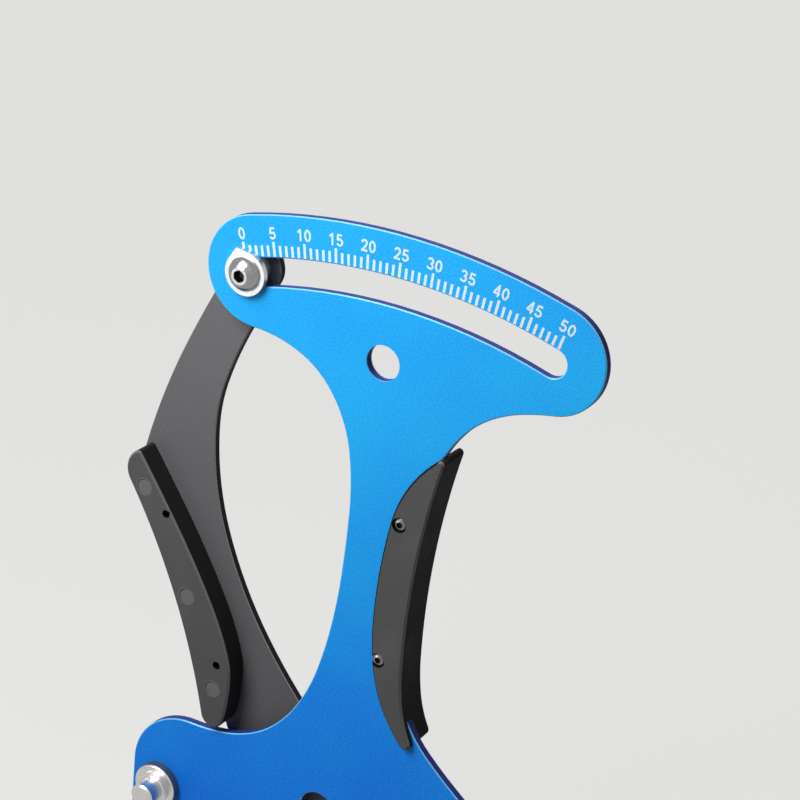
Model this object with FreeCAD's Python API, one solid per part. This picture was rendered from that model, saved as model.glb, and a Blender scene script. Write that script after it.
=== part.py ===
import FreeCAD, Part
import math
import os

# Spoke tension meter. Millimetres. X to the right, Z up along the neck, Y to the back: the dial
# side faces -Y. The origin is the centre of the hang hole on the front face of the body plate.
# Profiles are drawn as (x, z) about the pivot axis, which runs along Y.

# --- driving dimensions ----------------------------------------------------------------------

SWING = 31.7                     # travel of the lever, degrees
SLOT_R = 132.8                   # middle of the pointer slot, from the pivot
SLOT_WIDTH = 6.4
HEAD_RIM = 12.6                  # slot middle to the edge of the head
HEAD_LEFT, HEAD_RIGHT = -14.9, 15.7      # centres of its round ends, degrees
RIGHT_END_R, RIGHT_END_STOP = 12.0, 170.0        # the right end, down to its lower side

HANG_X, HANG_Z = -1.7, SLOT_R - 16.1     # hang hole, seen from the pivot
HANG_R = 4.0

PLATE_T = 2.2
PLATE_EDGE = 0.25                # chamfer round both faces of the plate
GAP_T = 2.0                      # air between plate and lever
LEVER_T = 2.0
LEVER_EDGE = 0.2
CURVE_STEP = 0.15                # how closely arcs follow the free curves of the outlines

NECK_LEFT, NECK_LEFT_Z = 6.3, 80.0       # narrowest place of the left flank
NECK_RIGHT, NECK_RIGHT_Z = 9.1, 58.0     # and of the right flank
FULL_HEAD_LEFT, FULL_FOOT_LEFT = 0.65, 0.71
HEAD_REACH, UNDER_HEAD_REACH = 22.0, 41.0        # right flank, above the neck
NECK_REACH, SHOULDER_REACH = 20.0, 16.5          # and below it
SHOULDER_SLOPE, SHOULDER_LENGTH = 36.7, 17.0

POST_ARM = 7.2                   # pivot to the moving post
POST_SPAN = 86.6                 # between the two fixed posts
POST_Z = -7.0
POST_R = 3.0
POST_OUT = 7.7                   # how far the posts stand in front of the plate
POST_TIP = 0.4
POST_FLANGE_R, POST_FLANGE_T = 5.65, 2.4
POST_FLANGE_EDGE = 0.35
POST_COLLAR_R, POST_COLLAR_T = 4.0, 0.6  # small step on the flange
POST_ROOT = 0.3                  # fillet where pin and collar meet
WINDOW_SIDE = 1.4                # clearance beside the moving post
WINDOW_ENDS = 2.8                # clearance above and below its travel

FOOT_HALF = POST_SPAN / 2 + 7.8  # half width of the foot, about the middle post
FOOT_BOTTOM = -23.0
LEFT_EAR_TOP, LEFT_EAR_R = 12.8, 15.5
RIGHT_EAR_TOP, EAR_R = 13.4, 9.3         # the lower corners have this radius too

M4_R, M3_R, M2_R = 2.0, 1.5, 0.95
SCREW_FIT = 0.05                 # radial play of a screw in its hole
BUTTON_R, BUTTON_H = 3.8, 2.2    # M4 button head
BUTTON_FLAT = 0.4                # its dome lacks this much of its height, to leave a flat ring
M4_SOCKET, M4_SOCKET_DEEP = 2.5, 1.3
PAN_R, PAN_H = 2.5, 1.6          # M3 pan head
SUNK_R = 2.75                    # M3 countersunk head
M3_SOCKET, M3_SOCKET_DEEP = 2.0, 0.9
TAP_HEAD_R, TAP_HEAD_H = 1.55, 0.7
TAP_SOCKET, TAP_SOCKET_DEEP = 1.3, 0.4
TAP_LENGTH = 7.0                 # under the head
THREAD_DEEP = 6.0                # M3 screws in the posts

BUSH_WALL = 1.0
BUSH_PLAY = 0.05                 # running clearance on the bolt, and end play
MOVE_CLEAR = 0.3                 # clearance between pieces that pass each other
WASHER_R, WASHER_T = 4.6, 0.8
ARBOR_R, ARBOR_L = 3.35, 6.6
CAP_R, CAP_H, CAP_BAND = 3.5, 3.2, 0.9

WIRE_R = 0.55
COIL_R = 4.3                     # middle of the wire
COIL_TURNS = 3                   # whole turns, before the part turn between the arms
COIL_PITCH = 1.5
COIL_LIFT = 0.15                 # coil above the washer
ARM_LOW, ARM_LOW_REACH = 34.0, 15.0      # degrees from the neck line, to the right
ARM_HIGH, ARM_HIGH_REACH = 36.9, 13.0    # and to the left
ARM_OVERHANG = 3.0
ARM_TOUCH = 0.05
ANCHOR_R, ANCHOR_SINK = 1.25, 1.8
SPRING_POST_R = 2.5
SPRING_POST_SPIGOT = 1.5
SPRING_POST_GROOVE = 0.3
POST_OVER_WIRE = 1.2             # pins stand this far past the wire they hold

BLADE_R, BLADE_T, BLADE_TIP = 4.95, 1.3, 5.95
BLADE_LEAN = -9.0                # its point is set a little to the left, degrees
BLADE_GAP = 0.15
SPACER_PLAY = 0.15               # spacer in the slot
NUT_FLATS, NUT_H = 7.0, 2.6
SCREW_END = 0.6                  # thread showing past the nut

LOBE_R = 5.6                     # end of the lever round the pointer
HUB_R = 9.5                      # end of the lever round the pivot
LOBE_OUT, LOBE_IN = -61.0, 115.5         # where that round end stops, degrees
HUB_STOP = 35.0
LEVER_WAIST = (-44.3, 87.5)
LEVER_ELBOW, ELBOW_LEAN = (-62.8, 77.5), 13.6
OUTER_REACH, INNER_TOP_REACH, INNER_MID_REACH = 19.0, 10.0, 14.0
INNER_LOW_REACH, HUB_REACH, HUB_LOW_REACH = 37.0, 25.0, 17.0
GRIP_REACH, ELBOW_REACH = 15.0, 2.5

GRIP_FRONT = 1.6                 # grips stand this far in front of the plate
GRIP_DEPTH = 9.4
GRIP_WALL = 2.2                  # plastic between the plate edge and the hand
GRIP_EDGE = 0.5
GROOVE_PLAY = 0.05
RECESS_R, RECESS_DEEP = 1.75, 0.75       # round a screw head in a grip
MARK_R, MARK_DEEP = 1.9, 0.2     # round marks in the end face of a grip
RIGHT_GRIP_WAIST, LEFT_GRIP_BELLY = (2.9, 60.0), (-32.1, 28.5)
TIP_R, RIGHT_TIP_TURN = 0.9, 145.0
RIGHT_TOE, RIGHT_TOE_HEADING = (15.3, 30.9), 152.0
RIGHT_TOE_R, RIGHT_TOE_TURN = 1.5, 164.0
FLARE_REACH = 5.5
RIGHT_TIP_REACH, RIGHT_UPPER_REACH, RIGHT_LOWER_REACH, RIGHT_TOE_REACH = 10.0, 22.0, 16.0, 9.0
LEFT_TIP_REACH, LEFT_UPPER_REACH, LEFT_LOWER_REACH = 18.0, 12.0, 4.0
LEFT_CORNER_R, LEFT_CORNER_TURN, LEFT_TIP_TURN = 5.5, 84.0, 93.0
LEFT_TIP_FLAT = 0.6
LEFT_TOE_R, LEFT_TOE_TURN = 3.05, 150.0

# --- places that follow from them ------------------------------------------------------------

PIVOT_X, PIVOT_Z = -HANG_X, -HANG_Z
LEVER_FRONT = PLATE_T + GAP_T
LEVER_BACK = LEVER_FRONT + LEVER_T
WASHER_BACK = LEVER_BACK + BUSH_PLAY + WASHER_T
ARBOR_BACK = WASHER_BACK + ARBOR_L
POST_MIDDLE = -POST_ARM * (1 + math.cos(math.radians(SWING / 2))) / 2
HALF_SWING = math.radians(SWING / 2)
MOVING_POST = (-POST_ARM * math.cos(HALF_SWING), -POST_ARM * math.sin(HALF_SWING))
LEFT_POST = (POST_MIDDLE - POST_SPAN / 2, POST_Z)
RIGHT_POST = (POST_MIDDLE + POST_SPAN / 2, POST_Z)
BUSH_FLANGE_R = POST_ARM - POST_R - MOVE_CLEAR
PLATE_SCREWS = [(7.0, 82.2), (5.3, 48.4)]        # grip screws through the neck
LEVER_SCREWS = [(-52.3, 65.2), (-35.9, 31.6)]    # and through the lever
PLATE_MARKS = [(11.2, 91.5), (7.6, 64.5), (10.2, 37.5)]
LEVER_MARKS = [(-58.7, 70.1), (-45.3, 46.5), (-36.6, 25.2)]

RIGHT_HAND_TOP, RIGHT_HAND_LOW, RIGHT_HAND_SAG = (15.85, 98.7), (11.5, 47.0), 1.7
LEFT_HAND_TOP, LEFT_HAND_BOTTOM, LEFT_HAND_SAG = (-62.9, 70.6), (-39.3, 17.2), 2.6


# --- drawing helpers -------------------------------------------------------------------------

def at(p, y=0.0):
    """A point given about the pivot, in the part's own frame."""
    return FreeCAD.Vector(PIVOT_X + p[0], y, PIVOT_Z + p[1])


def polar(radius, degrees):
    """A point about the pivot, the angle turning clockwise from straight up."""
    a = math.radians(degrees)
    return (radius * math.sin(a), radius * math.cos(a))


def plus(p, direction, length):
    return (p[0] + direction[0] * length, p[1] + direction[1] * length)


def line(a, b):
    return Part.makeLine(at(a), at(b))


def arc(a, middle, b):
    return Part.Arc(at(a), at(middle), at(b)).toShape()


def arc_round(centre, radius, start, end):
    """An arc about a centre between two clockwise angles from straight up."""
    ends = [plus(centre, polar(1, a), radius) for a in (start, (start + end) / 2, end)]
    return arc(*ends)


def curve(a, a_way, a_reach, b, b_way, b_reach):
    """Tangent arcs close to the smooth curve that leaves a along a_way and comes in at b
    along b_way; the reaches say how long it keeps to each way."""
    poles = [a, plus(a, a_way, a_reach), plus(b, b_way, -b_reach), b]
    smooth = Part.BezierCurve()
    smooth.setPoles([at(p) for p in poles])
    return [piece.toShape() for piece in smooth.toBSpline().toBiArcs(CURVE_STEP)]


def quarter(flat, upright, fullness):
    """A curve that leaves one point level and reaches the other upright."""
    across, rise = upright[0] - flat[0], upright[1] - flat[1]
    return curve(flat, (1, 0), across * fullness, upright, (0, 1), rise * fullness)


def bowed(a, b, sag, offset=0.0):
    """An arc from a to b that bows by sag to the left of the way from a to b, moved that way
    by offset: its edge, its end points and its ways at both ends."""
    chord = math.hypot(b[0] - a[0], b[1] - a[1])
    along = ((b[0] - a[0]) / chord, (b[1] - a[1]) / chord)
    left = (-along[1], along[0])
    radius = chord * chord / (8 * sag) + sag / 2
    centre = plus(plus(a, along, chord / 2), left, sag - radius)
    rays = [((p[0] - centre[0]) / radius, (p[1] - centre[1]) / radius) for p in (a, b)]
    start, end = [plus(centre, ray, radius + offset) for ray in rays]
    start_way, end_way = [(ray[1], -ray[0]) for ray in rays]
    edge = arc(start, plus(centre, left, radius + offset), end)
    return edge, start, start_way, end, end_way


def hook(p, way, radius, turn):
    """A round corner that leaves p along way and turns left by so many degrees, or right if
    they are negative: its edge, its end point and its way there."""
    side = math.copysign(1, turn)
    heading = math.degrees(math.atan2(way[0], way[1]))
    first = heading + 90 * side
    centre = plus(p, polar(1, heading - 90 * side), radius)
    end = plus(centre, polar(1, first - turn), radius)
    return arc_round(centre, radius, first, first - turn), end, polar(1, heading - turn)


def back(way):
    return (-way[0], -way[1])


def outline(edges):
    return Part.Face(Part.Wire(Part.__sortEdges__(edges)))


def slab(edges, front, back):
    """A flat piece between two depths, from the edges of its outline."""
    body = outline(edges).extrude(FreeCAD.Vector(0, back - front, 0))
    body.translate(FreeCAD.Vector(0, front, 0))
    return body


def rim(shape, depths):
    """The edges that lie flat at any of the depths."""
    found = []
    for edge in shape.Edges:
        box = edge.BoundBox
        if any(abs(box.YMin - d) < 1e-4 and abs(box.YMax - d) < 1e-4 for d in depths):
            found.append(edge)
    return found


def rod(p, radius, front, back):
    return Part.makeCylinder(radius, back - front, at(p, front), FreeCAD.Vector(0, 1, 0))


def stub(p, radius, face, way, length):
    """A round pin or hole that starts at a face and runs along way."""
    return rod(p, radius, min(face, face + way * length), max(face, face + way * length))


def tube(p, outer, inner, front, back):
    return rod(p, outer, front, back).cut(rod(p, inner, front - 1, back + 1))


def turned(p, profile):
    """A solid of revolution about a line along Y, from (radius, depth) points."""
    corners = [at((p[0] + r, p[1]), y) for r, y in profile]
    face = Part.Face(Part.makePolygon(corners + corners[:1]))
    return face.revolve(at(p), FreeCAD.Vector(0, 1, 0), 360)


def hexagon(p, flats, front, back):
    radius = flats / math.sqrt(3)
    corners = [at(plus(p, polar(1, 60 * k), radius), front) for k in range(7)]
    return Part.Face(Part.makePolygon(corners)).extrude(FreeCAD.Vector(0, back - front, 0))


def domed(p, radius, height, band, base, way, flat=0.0):
    """A domed head: a straight band on its seat, then a round cap, growing along way. The
    cap may end flat, short of its full height by so much."""
    rise = height + flat - band
    ball_r = (radius * radius + rise * rise) / (2 * rise)
    ball = Part.makeSphere(ball_r, at(p, base + way * (height + flat - ball_r)))
    return stub(p, radius, base, way, height).common(ball)


# --- body plate ------------------------------------------------------------------------------

def slot_edges():
    """The curved slot: two arcs about the pivot, joined by round ends."""
    half, turn = SLOT_WIDTH / 2, SWING / 2
    edges = []
    for radius in (SLOT_R + half, SLOT_R - half):
        edges.append(arc(polar(radius, -turn), polar(radius, 0), polar(radius, turn)))
    for side in (-1, 1):
        tip = polar(SLOT_R, side * turn)
        out = side * turn + side * 90
        edges.append(arc_round(tip, half, out - 90, out + 90))
    return edges


def window_edges():
    """The upright hole that the moving post comes through."""
    half = POST_R + WINDOW_SIDE
    reach = POST_ARM * math.sin(HALF_SWING) + WINDOW_ENDS - WINDOW_SIDE
    edges = []
    for side in (-1, 1):
        x = POST_MIDDLE + side * half
        edges.append(line((x, -reach), (x, reach)))
        start = 90 if side < 0 else -90
        edges.append(arc_round((POST_MIDDLE, side * reach), half, start, start + 180))
    return edges


def plate_edges():
    """Outline of the body plate: a curved head, a waisted neck and a wide foot."""
    left, right = POST_MIDDLE - FOOT_HALF, POST_MIDDLE + FOOT_HALF
    outer = SLOT_R + HEAD_RIM
    left_end, right_end = polar(SLOT_R, HEAD_LEFT), polar(outer - RIGHT_END_R, HEAD_RIGHT)
    left_low = (left_end[0], left_end[1] - HEAD_RIM)
    right_low = plus(right_end, polar(1, RIGHT_END_STOP), RIGHT_END_R)
    under_head = polar(1, RIGHT_END_STOP + 90)
    left_waist, right_waist = (-NECK_LEFT, NECK_LEFT_Z), (NECK_RIGHT, NECK_RIGHT_Z)
    left_ear = (left + LEFT_EAR_R, LEFT_EAR_TOP - LEFT_EAR_R)
    left_shoulder = (left_ear[0], LEFT_EAR_TOP)
    ear = (right - EAR_R, RIGHT_EAR_TOP - EAR_R)
    slope = math.radians(SHOULDER_SLOPE)
    down_slope = (math.cos(slope), -math.sin(slope))
    ear_touch = plus(ear, polar(1, SHOULDER_SLOPE), EAR_R)
    shoulder = plus(ear_touch, down_slope, -SHOULDER_LENGTH)
    low = FOOT_BOTTOM + EAR_R
    return [
        arc(polar(outer, HEAD_LEFT), polar(outer, 0), polar(outer, HEAD_RIGHT)),
        arc_round(left_end, HEAD_RIM, -180, HEAD_LEFT),
        arc_round(right_end, RIGHT_END_R, HEAD_RIGHT, RIGHT_END_STOP),
        *quarter(left_low, left_waist, FULL_HEAD_LEFT),
        *curve(right_low, under_head, HEAD_REACH, right_waist, (0, -1), UNDER_HEAD_REACH),
        *quarter(left_shoulder, left_waist, FULL_FOOT_LEFT),
        *curve(right_waist, (0, -1), NECK_REACH, shoulder, down_slope, SHOULDER_REACH),
        line(shoulder, ear_touch),
        arc_round(ear, EAR_R, SHOULDER_SLOPE, 90),
        line((right, ear[1]), (right, low)),
        arc_round((right - EAR_R, low), EAR_R, 90, 180),
        line((right - EAR_R, FOOT_BOTTOM), (left + EAR_R, FOOT_BOTTOM)),
        arc_round((left + EAR_R, low), EAR_R, 180, 270),
        line((left, low), (left, left_ear[1])),
        arc_round(left_ear, LEFT_EAR_R, -90, 0),
    ]


def body_plate():
    plate = slab(plate_edges(), 0, PLATE_T)
    plate = plate.cut(slab(slot_edges(), 0, PLATE_T)).cut(slab(window_edges(), 0, PLATE_T))
    plate = plate.makeChamfer(PLATE_EDGE, rim(plate, (0, PLATE_T)))
    plate = plate.cut(rod((HANG_X, HANG_Z), HANG_R, 0, PLATE_T))
    plate = plate.cut(rod((0, 0), M4_R + SCREW_FIT, 0, PLATE_T))
    for post in (LEFT_POST, RIGHT_POST):
        plate = plate.cut(rod(post, M3_R + SCREW_FIT, 0, PLATE_T))
    for screw in PLATE_SCREWS:
        plate = plate.cut(rod(screw, M2_R + SCREW_FIT, 0, PLATE_T))
    return plate.cut(rod(anchor_place(), ANCHOR_R, PLATE_T - ANCHOR_SINK, PLATE_T))


# --- lever -----------------------------------------------------------------------------------

def left_hand(offset):
    """The hand side of the left grip, or a curve that runs inside it by offset."""
    return bowed(LEFT_HAND_BOTTOM, LEFT_HAND_TOP, -LEFT_HAND_SAG, -offset)


def lever_edges():
    """Outline of the lever: a round end at the pointer, a bowed arm with an elbow above the
    grip, and a round hub at the pivot."""
    tip = polar(SLOT_R, -SWING / 2)
    outer_top, outer_way = plus(tip, polar(1, LOBE_OUT), LOBE_R), polar(1, LOBE_OUT + 90)
    inner_top, inner_way = plus(tip, polar(1, LOBE_IN), LOBE_R), polar(1, LOBE_IN + 90)
    hub_side, hub_way = polar(HUB_R, HUB_STOP), polar(1, HUB_STOP + 90)
    elbow_way = polar(1, ELBOW_LEAN)
    grip_edge, low, low_way, high, high_way = left_hand(GRIP_WALL)
    return [
        arc_round(tip, LOBE_R, LOBE_OUT, LOBE_IN),
        *curve(inner_top, inner_way, INNER_TOP_REACH, LEVER_WAIST, (0, -1), INNER_MID_REACH),
        *curve(LEVER_WAIST, (0, -1), INNER_LOW_REACH, hub_side, hub_way, HUB_REACH),
        arc_round((0, 0), HUB_R, HUB_STOP, 180),
        *curve((0, -HUB_R), (-1, 0), HUB_LOW_REACH, low, low_way, GRIP_REACH),
        grip_edge,
        *curve(high, high_way, ELBOW_REACH, LEVER_ELBOW, elbow_way, ELBOW_REACH),
        *curve(LEVER_ELBOW, elbow_way, OUTER_REACH, outer_top, outer_way, OUTER_REACH),
    ]


def lever_plate():
    lever = slab(lever_edges(), LEVER_FRONT, LEVER_BACK)
    lever = lever.makeChamfer(LEVER_EDGE, rim(lever, (LEVER_FRONT, LEVER_BACK)))
    holes = [((0, 0), M4_R + BUSH_PLAY + BUSH_WALL), (polar(SLOT_R, -SWING / 2), M4_R + SCREW_FIT),
             (MOVING_POST, M3_R + SCREW_FIT), (spring_post_place(), SPRING_POST_SPIGOT)]
    holes += [(screw, M2_R + SCREW_FIT) for screw in LEVER_SCREWS]
    for place, radius in holes:
        lever = lever.cut(rod(place, radius, LEVER_FRONT, LEVER_BACK))
    return lever.cut(sunk_head(MOVING_POST, SCREW_FIT))


# --- grips -----------------------------------------------------------------------------------

def right_grip_edges():
    hand, low, low_way, high, high_way = bowed(RIGHT_HAND_LOW, RIGHT_HAND_TOP, RIGHT_HAND_SAG)
    tip, tip_end, tip_way = hook(high, high_way, TIP_R, RIGHT_TIP_TURN)
    flare_way = polar(1, RIGHT_TOE_HEADING)
    toe, toe_end, toe_way = hook(RIGHT_TOE, flare_way, RIGHT_TOE_R, -RIGHT_TOE_TURN)
    return [
        hand,
        *curve(low, back(low_way), FLARE_REACH, RIGHT_TOE, flare_way, FLARE_REACH),
        tip,
        *curve(tip_end, tip_way, RIGHT_TIP_REACH, RIGHT_GRIP_WAIST, (0, -1), RIGHT_UPPER_REACH),
        *curve(RIGHT_GRIP_WAIST, (0, -1), RIGHT_LOWER_REACH,
               toe_end, back(toe_way), RIGHT_TOE_REACH),
        toe,
    ]


def left_grip_edges():
    hand, low, low_way, high, high_way = left_hand(0)
    corner, corner_end, corner_way = hook(high, high_way, LEFT_CORNER_R, -LEFT_CORNER_TURN)
    tip_start = plus(corner_end, corner_way, LEFT_TIP_FLAT)
    tip, tip_end, tip_way = hook(tip_start, corner_way, TIP_R, -LEFT_TIP_TURN)
    toe, toe_end, toe_way = hook(low, back(low_way), LEFT_TOE_R, LEFT_TOE_TURN)
    return [
        hand,
        corner,
        line(corner_end, tip_start),
        tip,
        *curve(tip_end, tip_way, LEFT_TIP_REACH, LEFT_GRIP_BELLY, (0, -1), LEFT_UPPER_REACH),
        *curve(LEFT_GRIP_BELLY, (0, -1), LEFT_LOWER_REACH,
               toe_end, back(toe_way), LEFT_LOWER_REACH),
        toe,
    ]


def grip(edges, carrier_edges, carrier_front, carrier_back, face, way, screws, marks):
    """A moulded grip pushed over the edge of its carrier. The screws go in at one end face,
    along way; the marks are in the other."""
    front, back = -GRIP_FRONT, GRIP_DEPTH - GRIP_FRONT
    body = slab(edges, front, back)
    body = body.makeChamfer(GRIP_EDGE, rim(body, (front, back)))
    groove = outline(carrier_edges).makeOffset2D(GROOVE_PLAY)
    groove = groove.extrude(FreeCAD.Vector(0, carrier_back - carrier_front, 0))
    groove.translate(FreeCAD.Vector(0, carrier_front, 0))
    body = body.cut(groove)
    for screw in screws:
        body = body.cut(stub(screw, RECESS_R, face, way, RECESS_DEEP))
        body = body.cut(rod(screw, M2_R + SCREW_FIT, front, back))
    for mark in marks:
        body = body.cut(stub(mark, MARK_R, front + back - face, -way, MARK_DEEP))
    return body


def grip_right():
    return grip(right_grip_edges(), plate_edges(), 0, PLATE_T, -GRIP_FRONT, 1,
                PLATE_SCREWS, PLATE_MARKS)


def grip_left():
    return grip(left_grip_edges(), lever_edges(), LEVER_FRONT, LEVER_BACK,
                GRIP_DEPTH - GRIP_FRONT, -1, LEVER_SCREWS, LEVER_MARKS)


def tapping_screw(p, face, way):
    """A small screw that holds a grip, its head in the recess of a face."""
    seat = face + way * RECESS_DEEP
    head = domed(p, TAP_HEAD_R, TAP_HEAD_H, TAP_HEAD_H / 3, seat, -way)
    socket = hexagon(p, TAP_SOCKET, seat - way * (TAP_HEAD_H - TAP_SOCKET_DEEP), face)
    return head.fuse(stub(p, M2_R, seat, way, TAP_LENGTH)).cut(socket)


def grip_right_screws():
    return Part.makeCompound([tapping_screw(p, -GRIP_FRONT, 1) for p in PLATE_SCREWS])


def grip_left_screws():
    return Part.makeCompound([tapping_screw(p, GRIP_DEPTH - GRIP_FRONT, -1)
                              for p in LEVER_SCREWS])


# --- posts -----------------------------------------------------------------------------------

def tap_bore(p, end):
    """Tapped hole for the M3 screw that holds a post, from the seat of the post forwards."""
    return rod(p, M3_R + SCREW_FIT, end - THREAD_DEEP, end)


def fixed_post(p):
    """A turned pin with a step and a wide flange that seats on the front of the plate."""
    tip, flange = -POST_OUT, -POST_FLANGE_T
    collar = flange - POST_COLLAR_T
    profile = [(0, tip), (POST_R - POST_TIP, tip), (POST_R, tip + POST_TIP),
               (POST_R, collar - POST_ROOT), (POST_R + POST_ROOT, collar),
               (POST_COLLAR_R, collar), (POST_COLLAR_R, flange),
               (POST_FLANGE_R - POST_FLANGE_EDGE, flange),
               (POST_FLANGE_R, flange + POST_FLANGE_EDGE), (POST_FLANGE_R, 0), (0, 0)]
    return turned(p, profile).cut(tap_bore(p, 0))


def moving_post():
    """The post on the lever. It comes through the window and stands level with the others."""
    tip = -POST_OUT
    profile = [(0, tip), (POST_R - POST_TIP, tip), (POST_R, tip + POST_TIP),
               (POST_R, LEVER_FRONT), (0, LEVER_FRONT)]
    return turned(MOVING_POST, profile).cut(tap_bore(MOVING_POST, LEVER_FRONT))


def post_screw(p):
    """An M3 pan-head screw from the back of the plate into a fixed post."""
    shank = rod(p, M3_R, 1 - THREAD_DEEP, PLATE_T)
    head = domed(p, PAN_R, PAN_H, PAN_H / 2, PLATE_T, 1)
    socket = hexagon(p, M3_SOCKET, PLATE_T + PAN_H - M3_SOCKET_DEEP, PLATE_T + PAN_H)
    return head.fuse(shank).cut(socket)


def sunk_head(p, play):
    """A countersunk head flush with the back of the lever, or its seat."""
    radius, under = SUNK_R + play, M3_R + play
    return turned(p, [(0, LEVER_BACK - radius + under), (under, LEVER_BACK - radius + under),
                      (radius, LEVER_BACK), (0, LEVER_BACK)])


def moving_post_screw():
    """An M3 countersunk screw from the back of the lever into the moving post."""
    shank = rod(MOVING_POST, M3_R, LEVER_FRONT + 1 - THREAD_DEEP, LEVER_BACK)
    socket = hexagon(MOVING_POST, M3_SOCKET, LEVER_BACK - M3_SOCKET_DEEP, LEVER_BACK)
    return sunk_head(MOVING_POST, 0).fuse(shank).cut(socket)


def post_screws():
    return Part.makeCompound([post_screw(p) for p in (LEFT_POST, RIGHT_POST)])


# --- pivot -----------------------------------------------------------------------------------

def button_screw(p, seat, end):
    """An M4 button-head screw with a hexagon socket, its head in front of seat."""
    head = domed(p, BUTTON_R, BUTTON_H, BUTTON_H / 5, seat, -1, BUTTON_FLAT)
    shank = rod(p, M4_R, seat, end)
    socket = hexagon(p, M4_SOCKET, seat - BUTTON_H - 1, seat - BUTTON_H + M4_SOCKET_DEEP)
    return head.fuse(shank).cut(socket)


def pivot_bolt():
    return button_screw((0, 0), 0, ARBOR_BACK + CAP_H / 2)


def pivot_bushing():
    """A shouldered bush: its shoulder keeps the lever off the plate, its barrel fills the
    lever's bore."""
    bore, barrel = M4_R + BUSH_PLAY, M4_R + BUSH_PLAY + BUSH_WALL
    shoulder = tube((0, 0), BUSH_FLANGE_R, bore, PLATE_T + BUSH_PLAY, LEVER_FRONT)
    return shoulder.fuse(tube((0, 0), barrel, bore, LEVER_FRONT, LEVER_BACK))


def pivot_washer():
    return tube((0, 0), WASHER_R, M4_R + SCREW_FIT, LEVER_BACK + BUSH_PLAY, WASHER_BACK)


def spring_arbor():
    return tube((0, 0), ARBOR_R, M4_R + SCREW_FIT, WASHER_BACK, ARBOR_BACK)


def pivot_cap():
    """The domed nut that closes the pivot at the back."""
    cap = domed((0, 0), CAP_R, CAP_H, CAP_BAND, ARBOR_BACK, 1)
    return cap.cut(rod((0, 0), M4_R + SCREW_FIT, ARBOR_BACK, ARBOR_BACK + CAP_H / 2))


# --- torsion spring --------------------------------------------------------------------------

COIL_FRONT = WASHER_BACK + COIL_LIFT + WIRE_R
LOW_TURN = 90 + ARM_LOW                  # where the arms leave the coil, clockwise from the top
HIGH_TURN = 270 - ARM_HIGH + 360 * COIL_TURNS
COIL_RISE = COIL_PITCH * (HIGH_TURN - LOW_TURN) / 360


def anchor_place():
    """The pin on the plate lies against the outside of the lower arm."""
    reach = plus(polar(COIL_R, LOW_TURN), polar(1, ARM_LOW), ARM_LOW_REACH)
    return plus(reach, polar(1, LOW_TURN), ANCHOR_R + WIRE_R + ARM_TOUCH)


def spring_post_place():
    """The post on the lever lies against the outside of the upper arm."""
    reach = plus(polar(COIL_R, HIGH_TURN), polar(1, -ARM_HIGH), ARM_HIGH_REACH)
    return plus(reach, polar(1, HIGH_TURN), SPRING_POST_R + WIRE_R + ARM_TOUCH)


def wire_arm(start, way, length, depth):
    rod_way = FreeCAD.Vector(way[0], 0, way[1])
    return Part.makeCylinder(WIRE_R, length, at(start, depth), rod_way)


def torsion_spring():
    """A coil round the pivot, with an arm against a pin on the plate and an arm against a
    post on the lever."""
    helix = Part.makeHelix(COIL_PITCH, COIL_RISE, COIL_R)
    flats = Part.makePolygon([FreeCAD.Vector(COIL_R + WIRE_R * math.cos(a), 0, WIRE_R * math.sin(a))
                              for a in (math.pi / 4 * k for k in range(9))])
    coil = helix.makePipeShell([flats], True, True)
    coil.rotate(FreeCAD.Vector(), FreeCAD.Vector(1, 0, 0), -90)
    coil.rotate(FreeCAD.Vector(), FreeCAD.Vector(0, 1, 0), LOW_TURN - 90)
    coil.translate(at((0, 0), COIL_FRONT))
    low, high = polar(COIL_R, LOW_TURN), polar(COIL_R, HIGH_TURN)
    low_arm = wire_arm(low, polar(1, ARM_LOW), ARM_LOW_REACH + ARM_OVERHANG, COIL_FRONT)
    high_arm = wire_arm(high, polar(1, -ARM_HIGH), ARM_HIGH_REACH + ARM_OVERHANG,
                        COIL_FRONT + COIL_RISE)
    return coil.fuse(low_arm).fuse(high_arm)


def spring_anchor():
    """A plain pin pressed into the back of the plate."""
    return rod(anchor_place(), ANCHOR_R, PLATE_T - ANCHOR_SINK,
               COIL_FRONT + WIRE_R + POST_OVER_WIRE)


def spring_post():
    """The round post behind the lever, with a spigot through it and a ring groove."""
    end = COIL_FRONT + COIL_RISE + WIRE_R + POST_OVER_WIRE
    ring = (LEVER_BACK + end) / 2
    groove, step, edge = SPRING_POST_GROOVE, 0.4, 0.5
    radius = SPRING_POST_R
    profile = [(0, LEVER_FRONT), (SPRING_POST_SPIGOT, LEVER_FRONT),
               (SPRING_POST_SPIGOT, LEVER_BACK), (radius, LEVER_BACK), (radius, ring - step),
               (radius - groove, ring - step), (radius - groove, ring + step),
               (radius, ring + step), (radius, end - edge), (radius - edge, end), (0, end)]
    return turned(spring_post_place(), profile)


# --- pointer ---------------------------------------------------------------------------------

POINTER = polar(SLOT_R, -SWING / 2)
BLADE_BACK = -BLADE_GAP
BLADE_FRONT = BLADE_BACK - BLADE_T


def pointer_blade():
    """A thick washer drawn out to a point that reads the scale."""
    way = BLADE_LEAN - SWING / 2
    touch = math.degrees(math.acos(BLADE_R / BLADE_TIP))
    tip = plus(POINTER, polar(1, way), BLADE_TIP)
    left = plus(POINTER, polar(1, way - touch), BLADE_R)
    right = plus(POINTER, polar(1, way + touch), BLADE_R)
    edges = [line(left, tip), line(tip, right),
             arc_round(POINTER, BLADE_R, way + touch, way + 360 - touch)]
    blade = slab(edges, BLADE_FRONT, BLADE_BACK)
    return blade.cut(rod(POINTER, M4_R + SCREW_FIT, BLADE_FRONT, BLADE_BACK))


def pointer_spacer():
    """The round spacer that runs in the slot and stops at its ends."""
    return tube(POINTER, SLOT_WIDTH / 2 - SPACER_PLAY, M4_R + SCREW_FIT, BLADE_BACK, LEVER_FRONT)


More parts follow.
